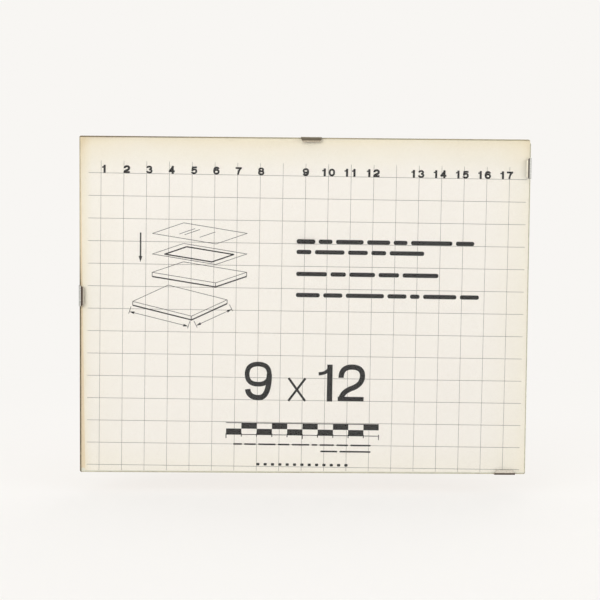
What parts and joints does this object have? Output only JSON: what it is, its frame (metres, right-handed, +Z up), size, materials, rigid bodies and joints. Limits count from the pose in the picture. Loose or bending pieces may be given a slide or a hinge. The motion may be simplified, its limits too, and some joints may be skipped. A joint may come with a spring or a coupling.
{
  "type": "clip frame",
  "caption": "Frameless picture frame: a flat glass pane over a printed paper insert and a grooved chipboard back, held at its edges by sliding bent spring-steel clips with keyholes for hanging.",
  "frame": {"origin": "centre of the upper clip's round hanging hole, in the middle of the sheet metal", "axes": "+X to the right along the longer side, +Y to the wall, through the hanging hole, +Z up; the glass faces -Y"},
  "size_m": [0.3061, 0.0125, 0.2299],
  "materials": {
    "glass": "clear float glass, edges ground",
    "paper": "uncoated cream paper, yellowed towards its borders, printed with a thin grey grid",
    "chipboard": "raw chipboard, sawn edges and grooves, pale front face",
    "clip_steel": "bright plated spring steel, sheared edges"
  },
  "bodies": {
    "panel": {"glass_pane": "glass", "insert_sheet": "paper", "backing_board": "chipboard"},
    "top_clip": {"clip_top": "clip_steel"},
    "left_clip": {"clip_left": "clip_steel"},
    "right_clip": {"clip_right": "clip_steel"},
    "bottom_clip": {"clip_bottom": "clip_steel"}
  },
  "joints": [
    {"name": "top_clip_slide", "type": "slide", "parent": "panel", "child": "top_clip", "axis": [1, 0, 0], "range_m": [-0.1644, 0.1116]},
    {"name": "left_clip_slide", "type": "slide", "parent": "panel", "child": "left_clip", "axis": [0, 0, 1], "range_m": [-0.1287, 0.0713]},
    {"name": "right_clip_slide", "type": "slide", "parent": "panel", "child": "right_clip", "axis": [0, 0, 1], "range_m": [-0.1723, 0.0277]},
    {"name": "bottom_clip_slide", "type": "slide", "parent": "panel", "child": "bottom_clip", "axis": [1, 0, 0], "range_m": [-0.2542, 0.0223]}
  ]
}
